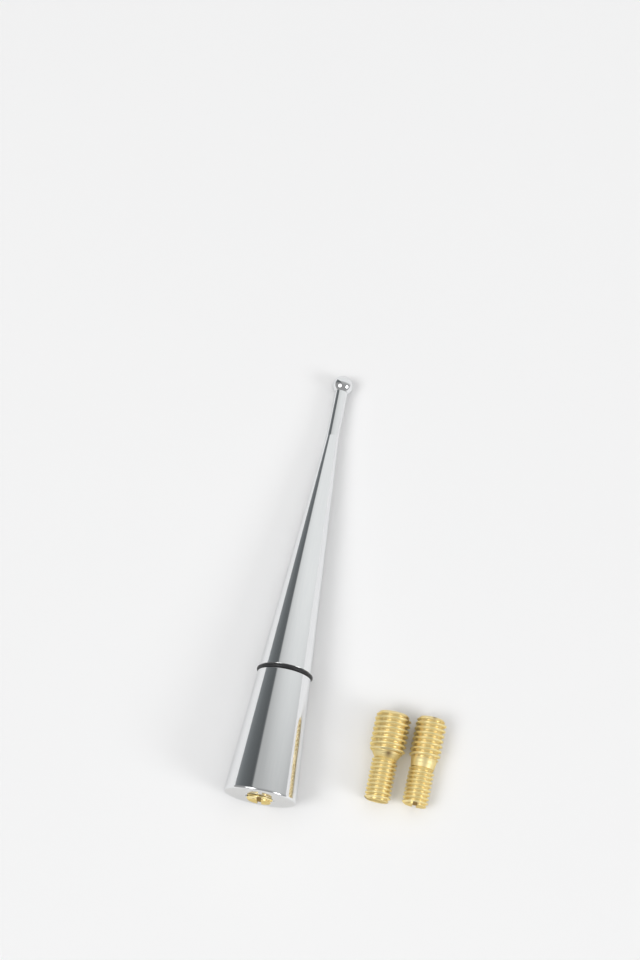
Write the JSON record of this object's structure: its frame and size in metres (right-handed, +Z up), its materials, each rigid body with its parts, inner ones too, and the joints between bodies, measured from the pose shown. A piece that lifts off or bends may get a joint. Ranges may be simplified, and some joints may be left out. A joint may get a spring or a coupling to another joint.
{
  "type": "screw-on antenna mast kit",
  "caption": "Short tapered polished antenna mast in two screwed sections with a rubber O-ring, ball tip and slotted base stud, with loose brass thread adapters beside it.",
  "frame": {"origin": "on the bench plane that the kit lies on, under the middle of the kit's bounding box", "axes": "+Z up from the bench, +Y along the mast from its seat towards its ball tip, +X from the mast towards the loose adapters"},
  "size_m": [0.0396, 0.0918, 0.0139],
  "materials": {
    "polished_metal": "mirror polished",
    "brass": "machined",
    "black_rubber": "satin"
  },
  "bodies": {
    "base": {"base_section": "polished_metal"},
    "ring": {"o_ring": "black_rubber"},
    "mast": {"mast_section": "polished_metal", "ball_tip": "polished_metal", "joining_stud": "brass"},
    "stud": {"fitted_stud": "brass"},
    "loose_m7": {"adapter_m7": "brass"},
    "loose_m6": {"adapter_m6": "brass"}
  },
  "joints": [
    {"name": "mast_rise", "type": "slide", "parent": "base", "child": "ring", "axis": [0, 0.9986, -0.0538], "range_m": [0, 0.0056]},
    {"name": "mast_turn", "type": "hinge", "parent": "ring", "child": "mast", "pos_m": [-0.01285, -0.0451, 0.00699], "axis": [0, 0.9986, -0.0538], "range_deg": [0, 2520.5]},
    {"name": "fitted_stud_out", "type": "slide", "parent": "base", "child": "stud", "axis": [0, -0.9986, 0.0538], "range_m": [0, 0.008]},
    {"name": "adapter_m7_slide", "type": "slide", "parent": "base", "child": "loose_m7", "axis": [-0.0366, -0.9993, 0], "range_m": [0, 0.02]},
    {"name": "adapter_m6_slide", "type": "slide", "parent": "base", "child": "loose_m6", "axis": [-0.0488, -0.9988, 0], "range_m": [0, 0.02]}
  ],
  "couplings": [
    {"joint": "mast_turn", "follows": "mast_rise", "rad_per_m": 7854}
  ]
}
